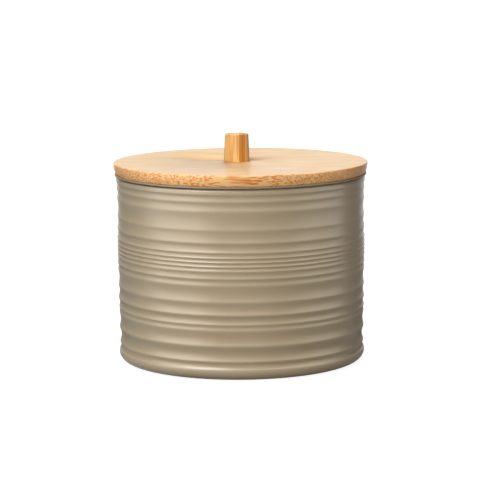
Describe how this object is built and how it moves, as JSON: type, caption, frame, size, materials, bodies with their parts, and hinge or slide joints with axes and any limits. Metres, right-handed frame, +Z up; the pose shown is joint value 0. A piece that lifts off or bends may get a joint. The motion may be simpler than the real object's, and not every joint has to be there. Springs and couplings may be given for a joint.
{
  "type": "cotton pad holder",
  "caption": "Round ceramic canister with thrown rings and a lift-off bamboo lid with a silicone seal and peg knob, for storing cotton pads.",
  "frame": {"origin": "on the table, under the middle of the canister; the undersides of the base pads are at z = 0", "axes": "+Z up along the canister's axis, towards the knob; -Y is the front; the lid board's grain runs along X"},
  "size_m": [0.1054, 0.1054, 0.0944],
  "materials": {
    "taupe_glaze": "satin matt glaze, warm taupe",
    "pad_silicone": "translucent silicone",
    "seal_silicone": "translucent grey silicone",
    "bamboo": "sanded bamboo, clear matt oil, grain along X",
    "plug_bamboo": "sanded bamboo, grain along X",
    "knob_bamboo": "turned laminated bamboo, grain along Z",
    "screw_steel": "zinc-plated steel"
  },
  "bodies": {
    "canister": {"canister": "taupe_glaze", "base_pads": "pad_silicone"},
    "seal": {"lid_seal": "seal_silicone"},
    "lid": {"lid_board": "bamboo", "lid_plug": "plug_bamboo", "knob": "knob_bamboo", "knob_screw": "screw_steel"}
  },
  "joints": [
    {"name": "lid_lift", "type": "slide", "parent": "canister", "child": "seal", "axis": [0, 0, 1], "range_m": [0, 0.1]},
    {"name": "lid_turn", "type": "hinge", "parent": "seal", "child": "lid", "pos_m": [0, 0, 0.0784], "axis": [0, 0, 1], "continuous": true}
  ]
}
